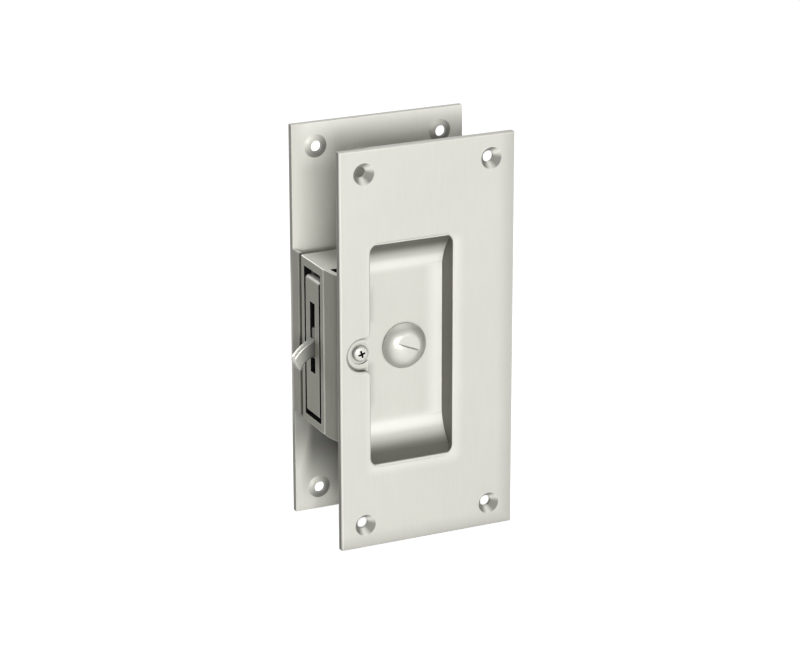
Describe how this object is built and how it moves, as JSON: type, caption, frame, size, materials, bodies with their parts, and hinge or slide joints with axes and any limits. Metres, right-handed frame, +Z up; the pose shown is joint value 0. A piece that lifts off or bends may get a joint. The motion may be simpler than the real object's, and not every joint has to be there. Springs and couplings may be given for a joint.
{
  "type": "pocket door lock",
  "caption": "Pocket door lock with rectangular face plates, scooped finger cups, a domed privacy turn, a swinging hook bolt and a pull that tips out of the door edge.",
  "frame": {"origin": "centre of the front plate's screw hole pattern, on the plate's door side", "axes": "+X along the door face away from its edge, +Y into the door from the front plate to the rear plate, +Z up"},
  "size_m": [0.0785, 0.046, 0.1524],
  "materials": {
    "satin_nickel": "satin nickel plate",
    "nickel_steel": "nickel plated steel",
    "bright_steel": "bright steel",
    "zinc_steel": "zinc plated steel",
    "spring_steel": "spring steel",
    "bronze": "plain bearing bronze"
  },
  "bodies": {
    "lock_body": {"front_plate": "satin_nickel", "rear_plate": "satin_nickel", "lock_case": "satin_nickel", "case_cover": "zinc_steel", "cover_screws": "bright_steel", "front_fixing_screw": "bright_steel", "rear_fixing_screw": "bright_steel", "hook_pivot_pin": "bright_steel", "pull_pivot_pin": "bright_steel", "pull_spring": "spring_steel", "detent_spring": "spring_steel", "spring_screws": "bright_steel", "stop_pins": "bright_steel", "front_bushing": "bronze", "rear_bushing": "bronze"},
    "turn": {"turn_knob": "satin_nickel", "turn_spindle": "bright_steel", "drive_gear": "zinc_steel", "release_button": "satin_nickel", "knob_clip": "spring_steel", "release_clip": "spring_steel"},
    "hook": {"hook_bolt": "nickel_steel"},
    "pull": {"edge_pull": "satin_nickel"}
  },
  "joints": [
    {"name": "turn_hinge", "type": "hinge", "parent": "lock_body", "child": "turn", "pos_m": [-0.00522, 0.0224, -0.0028], "axis": [0, -1, 0], "range_deg": [0, 74.67], "deforming": ["detent_spring"]},
    {"name": "hook_hinge", "type": "hinge", "parent": "lock_body", "child": "hook", "pos_m": [-0.02923, 0.0224, -0.0028], "axis": [0, 1, 0], "range_deg": [0, 112]},
    {"name": "pull_hinge", "type": "hinge", "parent": "lock_body", "child": "pull", "pos_m": [-0.03072, 0.0224, -0.025], "axis": [0, -1, 0], "range_deg": [0, 22], "stiffness_Nm_per_rad": 0.02, "springref_deg": -11.46, "deforming": ["pull_spring"]}
  ],
  "couplings": [
    {"joint": "hook_hinge", "follows": "turn_hinge", "ratio": 1.5}
  ]
}
